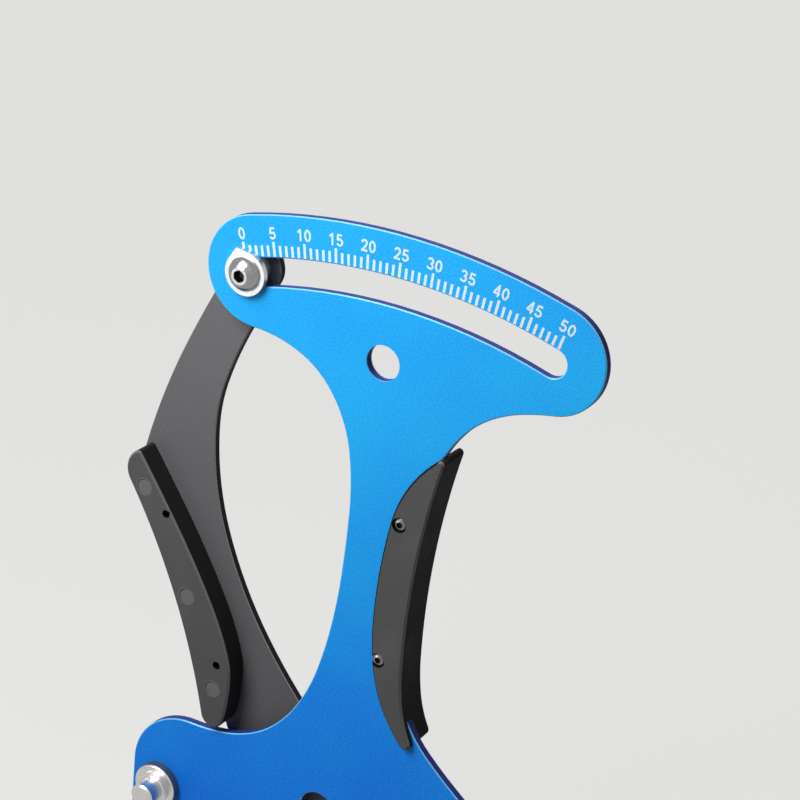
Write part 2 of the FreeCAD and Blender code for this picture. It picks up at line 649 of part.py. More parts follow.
def pointer_screw():
    return button_screw(POINTER, BLADE_FRONT, LEVER_BACK + NUT_H + SCREW_END)


def pointer_nut():
    nut = hexagon(POINTER, NUT_FLATS, LEVER_BACK, LEVER_BACK + NUT_H)
    return nut.cut(rod(POINTER, M4_R + SCREW_FIT, LEVER_BACK, LEVER_BACK + NUT_H))


# --- the whole part --------------------------------------------------------------------------

NODES = {
    "body_plate": body_plate,
    "lever_plate": lever_plate,
    "grip_right": grip_right,
    "grip_left": grip_left,
    "grip_right_screws": grip_right_screws,
    "grip_left_screws": grip_left_screws,
    "fixed_post_left": lambda: fixed_post(LEFT_POST),
    "fixed_post_right": lambda: fixed_post(RIGHT_POST),
    "fixed_post_screws": post_screws,
    "moving_post": moving_post,
    "moving_post_screw": moving_post_screw,
    "pivot_bolt": pivot_bolt,
    "pivot_bushing": pivot_bushing,
    "pivot_washer": pivot_washer,
    "spring_arbor": spring_arbor,
    "pivot_cap": pivot_cap,
    "torsion_spring": torsion_spring,
    "spring_anchor": spring_anchor,
    "spring_post": spring_post,
    "pointer_blade": pointer_blade,
    "pointer_spacer": pointer_spacer,
    "pointer_screw": pointer_screw,
    "pointer_nut": pointer_nut,
}

os.makedirs("parts", exist_ok=True)
for name, make in NODES.items():
    shape = make()
    shape.exportStep("parts/" + name + ".step")
    print(name, len(shape.Solids), shape.isValid(), round(shape.Volume, 2))
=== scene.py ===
import math

import bpy
import numpy as np
from bpy.props import FloatProperty, FloatVectorProperty, IntProperty, PointerProperty
from mathutils import Matrix, Vector


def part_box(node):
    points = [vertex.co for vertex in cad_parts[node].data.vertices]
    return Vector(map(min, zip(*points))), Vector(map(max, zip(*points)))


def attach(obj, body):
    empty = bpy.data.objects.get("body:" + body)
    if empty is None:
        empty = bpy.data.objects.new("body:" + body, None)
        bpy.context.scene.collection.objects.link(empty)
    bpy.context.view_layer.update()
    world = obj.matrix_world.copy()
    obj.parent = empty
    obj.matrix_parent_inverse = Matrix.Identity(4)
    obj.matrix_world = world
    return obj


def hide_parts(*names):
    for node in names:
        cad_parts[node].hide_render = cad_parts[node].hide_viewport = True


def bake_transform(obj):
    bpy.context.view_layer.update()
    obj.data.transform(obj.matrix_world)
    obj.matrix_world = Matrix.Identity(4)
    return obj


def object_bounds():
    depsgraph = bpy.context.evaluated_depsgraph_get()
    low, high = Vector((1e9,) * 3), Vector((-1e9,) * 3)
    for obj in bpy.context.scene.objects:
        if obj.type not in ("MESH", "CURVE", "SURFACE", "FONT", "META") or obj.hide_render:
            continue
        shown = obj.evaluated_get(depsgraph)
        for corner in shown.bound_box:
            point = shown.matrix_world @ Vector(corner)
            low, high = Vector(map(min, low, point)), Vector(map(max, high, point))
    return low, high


bl_info = {
    "name": "Spoke tension meter",
    "version": (1, 0, 0),
    "blender": (4, 5, 0),
    "location": "View3D > Sidebar > Tension meter",
    "description": "Finishes, scale print, torsion spring and studio of a spoke tension meter",
    "category": "Object",
}

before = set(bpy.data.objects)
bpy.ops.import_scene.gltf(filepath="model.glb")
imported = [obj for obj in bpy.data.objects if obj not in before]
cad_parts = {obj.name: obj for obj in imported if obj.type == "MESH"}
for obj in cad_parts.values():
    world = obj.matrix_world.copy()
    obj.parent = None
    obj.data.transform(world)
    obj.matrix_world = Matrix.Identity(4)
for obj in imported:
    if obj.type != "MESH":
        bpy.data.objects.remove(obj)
CAD_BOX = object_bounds()

MM = 0.001
PIVOT = np.array((1.7, 0.0, -116.7)) * MM       # pivot axis, which runs along Y
SLOT_R = 132.8 * MM                             # middle of the pointer slot
SWING = 31.7                                    # travel of the lever, degrees
MARKS, MARK_GROUP = 50, 5                       # every fifth mark is long and has a number
INK_ROOT, INK_LAYER = 0.00001, 0.000004         # depth in the plate; step between strokes
COIL_FROM, COIL_TO = 124.0, 233.1 + 3 * 360     # degrees at which the arms leave the coil
FRAME_ARM, LEVER_ARM = 0.018, 0.016             # lengths of the spring's arms
COIL_ROWS, ARM_ROWS = 420, 24                   # rings of the spring's surface

# Places on the object for the finishes, in millimetres
PLATE_FACES, LEVER_FACES, GRIP_FACES = (0.0, 2.2), (4.2, 6.2), (-1.6, 7.8)
CHAMFER, SKIN = 0.27, 0.015                     # plates: chamfers end, and start, this deep
GRIP_CHAMFER, GRIP_SKIN = 0.45, 0.03            # the same on the grips
MARK_R, HOLE_R = 1.9, 1.1                       # round marks and screw holes of the grips
# The holes' walls, this deep, get painted shade.
HOLE_FROM, HOLE_TO = 0.1, 4.0                   # the holes' walls are this deep in the front
LEFT_MARKS = ((-57.0, 0.0, -46.6), (-43.6, 0.0, -70.2), (-34.9, 0.0, -91.5))
LEFT_SCREWS = ((-50.6, 0.0, -51.5), (-34.2, 0.0, -85.1))
RIGHT_SCREWS = ((8.7, 0.0, -34.5), (7.0, 0.0, -68.3))
# Outside this circle the right grip's edge on the plate gets a painted shadow.
RIGHT_SEAM = ((103.8, 0.0, -54.0), 95.0)        # circle inside the edge on the plate

# The stage, in metres and watts
FLOOR_GAP, FLOOR_HALF = 0.0002, 60.0            # below the foot; half the floor's width
FLOOR_SHADE, FLOOR_GLOW = 0.4, 0.8              # tone in diffuse light; share that glows
WORLD_LIGHT, WORLD_SEEN = 0.08, 0.75            # light on the object, and more where seen
LAMPS = (                                       # name, place, target, size, power, for matt
    ("key", (-0.13, -0.2, 0.2), (-0.01, 0.0, -0.01), 0.2, 1.8, True),
    ("gloss", (-0.38, -0.5, -0.12), (-0.04, 0.0, 0.0), 0.25, 1.3, False),
    ("fill", (1.2, -2.4, 1.5), (0.0, 0.0, -0.05), 1.5, 1.0, True),
    ("back", (-0.6, 2.6, 0.5), (0.0, 0.0, -0.05), 1.5, 32.0, True),
)
CAMERA_PLACE = (0.1976, -0.3745, 0.1748)
CAMERA_RIGHT, CAMERA_UP = (0.8648, 0.4925, 0.0980), (-0.2751, 0.3014, 0.9130)
CAMERA_LENS, CAMERA_SENSOR = 98.76, 36.0
CAMERA_CLIP = (0.01, 30.0)


# --- arrays and meshes ------------------------------------------------------------------------

def polar(radius, degrees, depth=0.0):
    """Points about the pivot: x = r sin a, z = r cos a, the angle turning clockwise from the
    top, at a depth along Y."""
    a = np.radians(degrees)
    radius, a, depth = np.broadcast_arrays(radius, a, depth)
    return PIVOT + np.stack([radius * np.sin(a), depth, radius * np.cos(a)], axis=-1)


def scale_angle(number):
    """Degrees from the top at which a number of the scale stands."""
    return -SWING / 2 + SWING * number / MARKS


def finished_mesh(name, points, faces, material, body, smooth=True):
    """An object at the origin with its place in its mesh, riding on a body of the frame."""
    mesh = bpy.data.meshes.new(name)
    mesh.from_pydata(points.reshape(-1, 3).tolist(), [], faces)
    mesh.validate()
    mesh.polygons.foreach_set("use_smooth", np.full(len(mesh.polygons), smooth))
    mesh.materials.append(material)
    piece = bpy.data.objects.new(name, mesh)
    bpy.context.scene.collection.objects.link(piece)
    if body:
        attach(piece, body)
    return piece


def tube_faces(rows, sides):
    """Faces of a closed tube of rings: quads between neighbours, a flat face at each end."""
    row = np.arange(rows - 1)[:, None] * sides
    k = np.arange(sides)[None, :]
    after = (k + 1) % sides
    quads = np.stack([row + k, row + sides + k, row + sides + after, row + after], axis=-1)
    first = list(range(sides))
    last = list(range((rows - 1) * sides, rows * sides))[::-1]
    return quads.reshape(-1, 4).tolist() + [first, last]


def wire_surface(path, radius, sides):
    """Round wire along a path: point + r (cos a * side + sin a * up), where side is at right
    angles to the path and to Y, and up is at right angles to both."""
    along = np.gradient(path, axis=0)
    along /= np.linalg.norm(along, axis=1, keepdims=True)
    side = np.cross(along, (0.0, 1.0, 0.0))
    side /= np.linalg.norm(side, axis=1, keepdims=True)
    up = np.cross(side, along)
    a = np.linspace(0, 2 * np.pi, sides, endpoint=False)[None, :, None]
    thick = np.broadcast_to(radius, len(path))[:, None, None]
    return path[:, None] + thick * (np.cos(a) * side[:, None] + np.sin(a) * up[:, None])


# --- numerals ---------------------------------------------------------------------------------

def sweep(x, y, across, up, start, stop):
    """Points round an oval: x + across cos a, y + up sin a, a from start to stop."""
    a = np.radians(np.linspace(start, stop, 24))
    return np.stack([x + across * np.cos(a), y + up * np.sin(a)], axis=1)


def pen_strokes():
    """Middle lines of the pen in each numeral, one high, with its foot at height 0."""
    straight = np.array
    return {
        "0": [sweep(0, 0.5, 0.225, 0.42, -90, 270)],
        "1": [straight([(0.05, 1.0), (0.05, 0.0)]),
              straight([(-0.2, 0.74), (-0.1, 0.785), (-0.02, 0.85), (0.04, 0.93)])],
        "2": [np.concatenate([sweep(0, 0.69, 0.215, 0.23, 172, -30),
                              [(0.02, 0.33), (-0.2, 0.09)]]),
              straight([(-0.29, 0.08), (0.28, 0.08)])],
        "3": [sweep(-0.01, 0.715, 0.2, 0.205, 165, -90),
              sweep(-0.01, 0.3, 0.225, 0.22, 90, -165)],
        "4": [straight([(0.12, 1.0), (0.12, 0.0)]), straight([(0.1, 0.95), (-0.22, 0.3)]),
              straight([(-0.3, 0.27), (0.28, 0.27)])],
        "5": [straight([(-0.19, 0.92), (0.22, 0.92)]), straight([(-0.14, 0.95), (-0.19, 0.46)]),
              sweep(-0.005, 0.325, 0.23, 0.245, 140, -160)],
    }


def pen_edges(path, pen):
    """Both edges of a stroke: the middle line moved by half the pen along its normal, where the
    normal is the path's direction (t_x, t_y) turned to (-t_y, t_x)."""
    along = np.gradient(path, axis=0)
    along /= np.linalg.norm(along, axis=1, keepdims=True)
    normal = np.stack([-along[:, 1], along[:, 0]], axis=1)
    return path + normal * pen / 2, path - normal * pen / 2


# --- finishes ---------------------------------------------------------------------------------

class Value:
    """A number on a surface. Arithmetic on it adds Math nodes."""

    def __init__(self, finish, socket):
        self.finish, self.socket = finish, socket

    def math(self, operation, *others):
        values = dict(enumerate((self,) + others))
        return self.finish.node("ShaderNodeMath", {"operation": operation}, values)

    def __add__(self, other):
        return self.math("ADD", other)

    def __sub__(self, other):
        return self.math("SUBTRACT", other)

    def __rsub__(self, other):
        return (self * -1) + other

    def __mul__(self, other):
        return self.math("MULTIPLY", other)

    def __gt__(self, other):
        return self.math("GREATER_THAN", other)

    def __lt__(self, other):
        return self.math("LESS_THAN", other)

    __radd__, __rmul__ = __add__, __mul__

    def within(self, low, high):
        """1 between low and high, 0 elsewhere."""
        return (self > low) * (self < high)


MIX_FACTOR, MIX_FIRST, MIX_SECOND, MIX_RESULT = 0, 6, 7, 2      # sockets that mix colours


class Shading:
    """The nodes of a material or of the world, and the shader that they feed."""

    def __init__(self, tree, shader):
        self.tree, self.shader = tree, tree.nodes[shader]

    def node(self, kind, settings={}, values={}, out=0):
        """Adds a node: its settings first, then the values or links of its sockets."""
        node = self.tree.nodes.new(kind)
        for name, setting in settings.items():
            setattr(node, name, setting)
        for name, value in values.items():
            if isinstance(value, Value):
                self.tree.links.new(value.socket, node.inputs[name])
            else:
                node.inputs[name].default_value = value
        return Value(self, node.outputs[out])

    def set(self, socket, value):
        """Feeds a socket of the shader."""
        self.tree.links.new(value.socket, self.shader.inputs[socket])

    def seen_rays(self):
        """1 for the rays that show a surface to the camera, in a mirror or through glass."""
        rays = self.node("ShaderNodeLightPath", out="Is Camera Ray")
        for ray in ("Is Glossy Ray", "Is Transmission Ray"):
            rays = rays.math("MAXIMUM", self.node("ShaderNodeLightPath", out=ray))
        return rays


class Finish(Shading):
    """One material: nodes around a Principled BSDF, with sizes in millimetres."""

    def __init__(self, name, **sockets):
        self.material = bpy.data.materials.new(name)
        self.material.use_nodes = True
        super().__init__(self.material.node_tree, "Principled BSDF")
        place = self.node("ShaderNodeTexCoord", out="Object")
        self.place = self.node("ShaderNodeVectorMath", {"operation": "SCALE"},
                               {0: place, "Scale": 1 / MM})
        for socket, value in sockets.items():
            self.shader.inputs[socket.replace("_", " ")].default_value = value

    def xyz(self, centre=(0.0, 0.0, 0.0)):
        """Millimetres from a centre along X, Y and Z."""
        moved = self.node("ShaderNodeVectorMath", {"operation": "SUBTRACT"},
                          {0: self.place, 1: centre})
        return [self.node("ShaderNodeSeparateXYZ", {}, {0: moved}, out) for out in "XYZ"]

    def radius(self, centre):
        """Millimetres from an axis along Y."""
        x, _, z = self.xyz(centre)
        return (x * x + z * z).math("SQRT")

    def noise(self, size, detail=2.0, stretch=(1.0, 1.0, 1.0)):
        """Noise from 0 to 1 with grains of a size in millimetres."""
        scaled = self.node("ShaderNodeVectorMath", {"operation": "MULTIPLY"},
                           {0: self.place, 1: stretch})
        return self.node("ShaderNodeTexNoise", {},
                         {"Vector": scaled, "Scale": 1 / size, "Detail": detail})

    def ramp(self, value, low, high):
        """0 below low, 1 above high, smooth between."""
        return self.node("ShaderNodeMapRange", {"interpolation_type": "SMOOTHSTEP"},
                         {"Value": value, "From Min": low, "From Max": high})

    def mix(self, first, second, mask):
        """One colour where the mask is 0, another where it is 1."""
        first, second = (c if isinstance(c, Value) else (*c, 1.0) for c in (first, second))
        return self.node("ShaderNodeMix", {"data_type": "RGBA"},
                         {MIX_FACTOR: mask, MIX_FIRST: first, MIX_SECOND: second}, MIX_RESULT)

    def bump(self, height, depth):
        """Relief whose height, times depth in millimetres, turns the normal."""
        values = {"Height": height, "Distance": depth * MM}
        self.set("Normal", self.node("ShaderNodeBump", {}, values, "Normal"))


def toned(colour, share):
    """A colour made lighter or darker, to a share of itself."""
    return [min(1.0, c * share) for c in colour]


def blasted(name, face, shade, wall, painted_highlight, faces, roughness):
    """Anodised aluminium, fine blasted. The faces at two depths carry the grain, and their
    colour runs darker towards the foot, painted shade. The wall between them was milled, so it
    is darker with fine lines along the outline. The narrow chamfers are a share lighter,
    painted highlight."""
    finish = Finish(name, Metallic=0.12, Specular_IOR_Level=0.15)
    front, back = faces
    x, y, z = finish.xyz()
    milled = y.within(front + CHAMFER, back - CHAMFER)
    edge = y.within(front + SKIN, back - SKIN)
    level = 1 - edge
    grain = finish.noise(0.3, 3.0)
    cloud = finish.ramp(finish.noise(34.0, 2.0), 0.3, 0.7)
    speck = finish.ramp(finish.noise(0.42, 1.0), 0.38, 0.62)
    # Painted shade: the colour runs from the darker tone at the foot to the face at the top.
    light = finish.ramp(z, -150.0, 0.0)
    colour = finish.mix(shade, face, cloud * 0.15 + speck * 0.22 + light * 0.62 + 0.01)
    # Painted highlight: the chamfers are lighter by a share.
    bright = [c + (1 - c) * painted_highlight for c in face]
    colour = finish.mix(colour, bright, edge * (1 - milled))
    finish.set("Base Color", finish.mix(colour, wall, milled))
    lines = finish.noise(0.12, 2.0, (0.25, 1.0, 0.25))
    finish.set("Roughness", level * (grain * 0.16 + cloud * 0.05) + roughness
               + milled * 0.35 - 0.1 * edge)
    finish.bump(level * grain + milled * lines * 0.4, 0.045)
    return finish.material


def turned(name, centre, colour, roughness=0.24, pitch=0.16, rim=None):
    """Turned steel: fine grooves round an axis along Y, on the end faces and on the sides.
    Beyond the rim's radius, in millimetres, it is rougher and has a painted dark reflection."""
    finish = Finish(name, Metallic=1.0)
    y, radius = finish.xyz(centre)[1], finish.radius(centre)
    wave = ((radius + y) * (2 * math.pi / pitch)).math("SINE")
    chatter = finish.noise(0.9, 2.0, (1.0, 3.0, 1.0))
    soil = finish.ramp(finish.noise(3.0, 3.0), 0.4, 0.75)
    surface = finish.mix(colour, toned(colour, 0.72), soil * 0.5 + 0.1 * wave + 0.1)
    rough = chatter * 0.08 + soil * 0.06 + roughness
    if rim:
        # Painted dark reflection on the side beyond the rim's radius.
        painted_dark_side = radius > rim
        surface = finish.mix(surface, toned(colour, 0.3), painted_dark_side)
        rough = rough + painted_dark_side * 0.2
    finish.set("Base Color", surface)
    finish.set("Roughness", rough)
    finish.bump(wave * 0.5 + chatter * 0.3, 0.004)
    return finish.material


def plated(name, centres, colour, roughness, thread=None, ring=None, socket=None):
    """A bright or blackened fastener, or two alike: smooth with faint wrench marks. The thread,
    two depths, a pitch and a radius, winds round the shank. The ring, two radii and the depth
    that it is in front of, is lighter, a painted highlight. The socket, a radius and two
    depths, is darker, painted shade in the recess."""
    finish = Finish(name, Metallic=1.0)
    x, y, z = finish.xyz(centres[0])
    scuff = finish.ramp(finish.noise(0.7, 4.0, (3.0, 1.0, 1.0)), 0.52, 0.72)
    radius = finish.radius(centres[0])
    for centre in centres[1:]:
        radius = radius.math("MINIMUM", finish.radius(centre))
    surface = finish.mix(colour, [min(1.0, c * 1.35 + 0.02) for c in colour], scuff * 0.6)
    if ring:
        inner, outer, depth = ring
        # Painted highlight on the ring of the head.
        painted_ring_highlight = radius.within(inner, outer) * (y < depth)
        surface = finish.mix(surface, toned(colour, 2.4), painted_ring_highlight)
    if socket:
        reach, low, high = socket
        # Painted shade in the socket.
        painted_socket_shade = (radius < reach) * y.within(low, high)
        surface = finish.mix(surface, toned(colour, 0.12), painted_socket_shade)
    finish.set("Base Color", surface)
    finish.set("Roughness", scuff * 0.16 + roughness)
    relief = scuff * 0.06
    if thread:
        low, high, pitch, shank = thread
        turn = z.math("ARCTAN2", x) * (1 / (2 * math.pi))
        wound = (y * (1 / pitch) + turn).math("PINGPONG", 0.5) * 2
        here = y.within(low, high) * radius.within(shank - 0.3, shank + 0.15)
        relief = relief + wound * here * 4
    finish.bump(relief, 0.05)
    return finish.material


def moulded(name, colour, marks=(), holes=(), seam=None):
    """Moulded grip plastic: an even spark-eroded grain, slightly rubbed where it is held. Its
    chamfers and the rims of the round marks get a painted highlight. The walls get painted
    shade,
    and so do the holes' walls and the edge on the plate, which is outside the circle of the
    seam:
    a painted shadow between grip and plate."""
    finish = Finish(name, Specular_IOR_Level=0.06)
    front, back = GRIP_FACES
    grain = finish.noise(0.22, 3.0)
    pits = finish.ramp(finish.noise(0.45, 1.0), 0.45, 0.7)
    rubbed = finish.ramp(finish.noise(14.0, 3.0), 0.45, 0.75)
    x, y, z = finish.xyz()
    front_rim = y.within(front + GRIP_SKIN, front + GRIP_CHAMFER)
    rims = y.within(back - GRIP_CHAMFER, back - GRIP_SKIN) + front_rim
    for mark in marks:
        off = (finish.radius(mark) - MARK_R).math("ABSOLUTE")
        rims = finish.ramp(0.32 - off, 0.0, 0.2) + rims
    # Painted highlight on the chamfers and the marks' rims; the grain and rubbed patches are
    # the plastic's own tone.
    surface = finish.mix(colour, toned(colour, 1.8), grain * 0.3 + rubbed * 0.2 + rims)
    # Painted shade on the walls.
    walls = y.within(front + GRIP_CHAMFER, back - GRIP_CHAMFER)
    surface = finish.mix(surface, toned(colour, 0.3), walls)
    # Painted shade in the holes' walls, and a painted shadow on the edge that lies on the
    # plate.
    shaded_places = [(finish.radius(hole) < HOLE_R) * y.within(front + HOLE_FROM, front + HOLE_TO)
             for hole in holes]
    if seam:
        centre, reach = seam
        shaded_places.append((finish.radius(centre) > reach) * front_rim)
    for painted_shade_mask in shaded_places:
        surface = finish.mix(surface, toned(colour, 0.06), painted_shade_mask)
    finish.set("Base Color", surface)
    finish.set("Roughness", 0.72 - rubbed * 0.12 + pits * 0.08 - rims * 0.1)
    finish.bump(grain + pits, 0.02)
    return finish.material


def printed(name, colour):
    """Pad-printed ink, a little uneven."""
    finish = Finish(name, Specular_IOR_Level=0.3)
    patch = finish.noise(0.35, 3.0)
    finish.set("Base Color", finish.mix(colour, toned(colour, 0.86), patch))
    finish.set("Roughness", patch * 0.15 + 0.42)
    finish.bump(patch, 0.01)
    return finish.material


def drawn_wire(name, colour):
    """Spring wire: hard drawn, with fine lines along it and a trace of oil."""
    finish = Finish(name, Metallic=1.0)
    line = finish.noise(0.2, 3.0, (1.0, 2.5, 1.0))
    oil = finish.ramp(finish.noise(1.8, 2.0), 0.4, 0.7)
    finish.set("Base Color", finish.mix(colour, toned(colour, 0.55), oil * 0.6))
    finish.set("Roughness", line * 0.15 + 0.2)
    finish.bump(line, 0.008)
    return finish.material


def coat(node, material):
    """Gives a CAD node its finish."""
    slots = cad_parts[node].data.materials
    slots.clear()
    slots.append(material)


def axis_of(node):
    """Middle of a round node, in millimetres, at depth 0."""
    low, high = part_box(node)
    return ((low.x + high.x) / 2 / MM, 0.0, (low.z + high.z) / 2 / MM)


def socket_in(node, end, reach, skin, deep):
    """A socket's radius and its two depths, from skin to deep below a face of the node, which
    is at end 0 for its front and at end 1 for its back."""
    face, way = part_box(node)[end].y / MM, 1 - 2 * end
    return (reach, *sorted((face + way * skin, face + way * deep)))


# --- sizes and colours that a user would change -----------------------------------------------

def colour_of(name, description, default):
    """A colour that a user can change."""
    return FloatVectorProperty(name=name, description=description, default=default,
                               subtype="COLOR", size=3, min=0.0, max=1.0)


def length_of(name, description, default):
    """A length in metres that a user can change."""
    return FloatProperty(name=name, description=description, default=default, unit="LENGTH")


class MeterColours(bpy.types.PropertyGroup):
    plate: colour_of("Plate", "Anodised face of the body plate", (0.012, 0.376, 0.75))
    # The darker tone of the random specks, and painted shade towards the foot.
    plate_shade: colour_of("Plate shade", "Deeper tone of the dye, most at the foot",
                           (0.0, 0.098, 0.69))
    plate_wall: colour_of("Plate wall", "Milled edge of the body plate", (0.022, 0.034, 0.21))
    lever: colour_of("Lever", "Anodised face of the lever", (0.115, 0.113, 0.12))
    grip: colour_of("Grip", "Moulded plastic of the grips", (0.067, 0.067, 0.068))
    grip_screws: colour_of("Grip screws", "Blackened screws of the grips", (0.09, 0.09, 0.094))
    steel: colour_of("Steel", "Turned posts, pointer and washers", (0.66, 0.65, 0.645))
    post_screws: colour_of("Post screws", "Bright screws of the posts", (0.5, 0.5, 0.515))
    bolt: colour_of("Bolt", "Bright pivot bolt", (0.6, 0.6, 0.62))
    cap: colour_of("Cap", "Polished cap nut of the pivot", (0.68, 0.68, 0.69))
    bush: colour_of("Bush", "Bronze of the pivot's bush", (0.55, 0.4, 0.17))
    spring_post: colour_of("Spring post", "Blackened post of the spring", (0.03, 0.03, 0.032))
    wire: colour_of("Wire", "Wire of the torsion spring", (0.5, 0.5, 0.52))
    pointer_screw: colour_of("Pointer screw", "Button-head screw", (0.34, 0.335, 0.34))
    pointer_nut: colour_of("Pointer nut", "Nut behind the lever", (0.56, 0.56, 0.58))
    spacer: colour_of("Spacer", "Grey spacer in the slot", (0.55, 0.56, 0.6))
    ink: colour_of("Ink", "Scale marks and numbers", (0.56, 0.7, 0.8))
    floor: colour_of("Floor", "Floor and backdrop", (0.9, 0.9, 0.89))


class MeterSizes(bpy.types.PropertyGroup):
    mark_width: length_of("Mark width", "Width of a scale mark", 0.00062)
    mark_foot: length_of("Mark foot", "Slot middle to the foot of a mark", 0.0035)
    mark_short: length_of("Short mark", "Slot middle to a short mark's top", 0.0059)
    mark_long: length_of("Long mark", "Slot middle to a long mark's top", 0.0067)
    number_height: length_of("Number height", "Height of the numbers", 0.00265)
    number_place: length_of("Number place", "Slot middle to the numbers", 0.00855)
    number_pitch: FloatProperty(name="Number pitch", default=0.72, min=0.4, max=1.5,
                                description="Numeral to numeral, as a share of the height")
    pen: FloatProperty(name="Pen", description="Stroke width, as a share of the height",
                       default=0.17, min=0.05, max=0.3)
    ink_thickness: length_of("Ink thickness", "Thickness of the print", 0.00004)
    wire_radius: length_of("Wire radius", "Radius of the spring wire", 0.00055)
    coil_radius: length_of("Coil radius", "Middle of the wire to the axis", 0.0043)
    coil_pitch: length_of("Coil pitch", "Rise of the coil in one turn", 0.0015)
    wire_sides: IntProperty(name="Wire sides", description="Sides of the wire's section",
                            default=16, min=8, max=48)


# --- operators --------------------------------------------------------------------------------

class METER_OT_body_plate(bpy.types.Operator):
    """Anodise the body plate"""
    bl_idname = "meter.body_plate"
    bl_label = "Body plate"

    def execute(self, context):
        colours = context.scene.meter_colours
        # The second colour is the darker tone of the specks and the painted shade towards the
        # foot; 0.14 is the share of the painted highlight on the chamfers.
        coat("body_plate", blasted("blasted_blue", colours.plate, colours.plate_shade,
                                   colours.plate_wall, 0.14, PLATE_FACES, 0.42))
        return {"FINISHED"}


class METER_OT_lever(bpy.types.Operator):
    """Anodise the lever"""
    bl_idname = "meter.lever"
    bl_label = "Lever"

    def execute(self, context):
        face = context.scene.meter_colours.lever
        # The copy of the face at 0.6 is the darker tone of the specks and the painted shade
        # towards the foot; 0.08 is the share of the painted highlight on the chamfers.
        coat("lever_plate", blasted("blasted_black", face, toned(face, 0.6),
                                    toned(face, 0.08), 0.08, LEVER_FACES, 0.46))
        return {"FINISHED"}


class METER_OT_grips(bpy.types.Operator):
    """Mould the two grips and blacken their screws"""
    bl_idname = "meter.grips"
    bl_label = "Grips"

    def execute(self, context):
        colours = context.scene.meter_colours
        coat("grip_left", moulded("moulded_left_grip", colours.grip, LEFT_MARKS, LEFT_SCREWS))
        # Outside the seam's circle the edge on the plate gets a painted shadow.
        coat("grip_right", moulded("moulded_right_grip", colours.grip, seam=RIGHT_SEAM))
        # The heads between these radii get a painted highlight, and their sockets painted
        # shade.
        hexagon, head, all_depths = 0.78, 1.2, 99.0
        for node, name, centres, end in (
                ("grip_left_screws", "black_left_screws", LEFT_SCREWS, 1),
                ("grip_right_screws", "black_right_screws", RIGHT_SCREWS, 0)):
            coat(node, plated(name, centres, colours.grip_screws, 0.26,
                              ring=(hexagon, head, all_depths),
                              socket=socket_in(node, end, hexagon, 0.15, 1.0)))
        return {"FINISHED"}


class METER_OT_posts(bpy.types.Operator):
    """Turn the three posts and plate their screws"""
    bl_idname = "meter.posts"
    bl_label = "Posts"

    def execute(self, context):
        colours = context.scene.meter_colours
        posts = ("fixed_post_left", "fixed_post_right")
        for node in posts:
            low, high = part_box(node)
            flange = (high.x - low.x) / 2 / MM
            # The flanges' sides get a painted dark reflection.
            coat(node, turned("turned_" + node, axis_of(node), colours.steel,
                              rim=flange - 0.1))
        coat("moving_post", turned("turned_moving_post", axis_of("moving_post"), colours.steel))
        for node, name, centres, skin in (
                ("fixed_post_screws", "bright_fixed_screws", [*map(axis_of, posts)], 0.15),
                ("moving_post_screw", "bright_moving_screw", [axis_of("moving_post_screw")],
                 0.1)):
            # The screws' sockets get painted shade.
            coat(node, plated(name, centres, colours.post_screws, 0.22,
                              socket=socket_in(node, 1, 1.2, skin, 1.2)))
        return {"FINISHED"}


class METER_OT_pivot(bpy.types.Operator):
    """Finish the bolt, bush, washer, arbor, cap and spring pins"""
    bl_idname = "meter.pivot"
    bl_label = "Pivot"

    def execute(self, context):
        colours = context.scene.meter_colours
        axis, steel = tuple(PIVOT / MM), colours.steel
        coat("pivot_bolt", plated("bright_pivot_bolt", [axis], colours.bolt, 0.2))
        coat("pivot_cap", plated("polished_cap", [axis], colours.cap, 0.1))
        coat("pivot_washer", turned("turned_washer", axis, steel))
        coat("spring_arbor", turned("turned_arbor", axis, steel, 0.26, 0.22))
        coat("pivot_bushing", turned("turned_bush", axis, colours.bush, 0.28))
        coat("spring_anchor", turned("turned_anchor_pin", axis_of("spring_anchor"), steel))
        coat("spring_post", turned("black_spring_post", axis_of("spring_post"),
                                   colours.spring_post, 0.26, 0.3))
        return {"FINISHED"}


class METER_OT_pointer(bpy.types.Operator):
    """Finish the pointed washer, its screw, spacer and nut"""
    bl_idname = "meter.pointer"
    bl_label = "Pointer"

    def execute(self, context):
        colours = context.scene.meter_colours
        axis, front = axis_of("pointer_screw"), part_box("pointer_screw")[0].y / MM
        coat("pointer_blade", turned("turned_pointer", axis, colours.steel, 0.32, 0.2))
        coat("pointer_spacer", turned("grey_spacer", axis, colours.spacer, 0.42, 0.3))
        thread = (8.8, 9.6, 0.7, 2.0)
        # The ring round the socket gets a painted highlight, and the socket painted shade.
        painted_highlight = (1.4, 1.95, front + 0.06)
        socket = socket_in("pointer_screw", 0, 1.5, 0.25, 1.6)
        coat("pointer_screw", plated("bright_pointer_screw", [axis], colours.pointer_screw,
                                     0.16, thread, painted_highlight, socket))
        coat("pointer_nut", plated("bright_nut", [axis], colours.pointer_nut, 0.24))
        return {"FINISHED"}


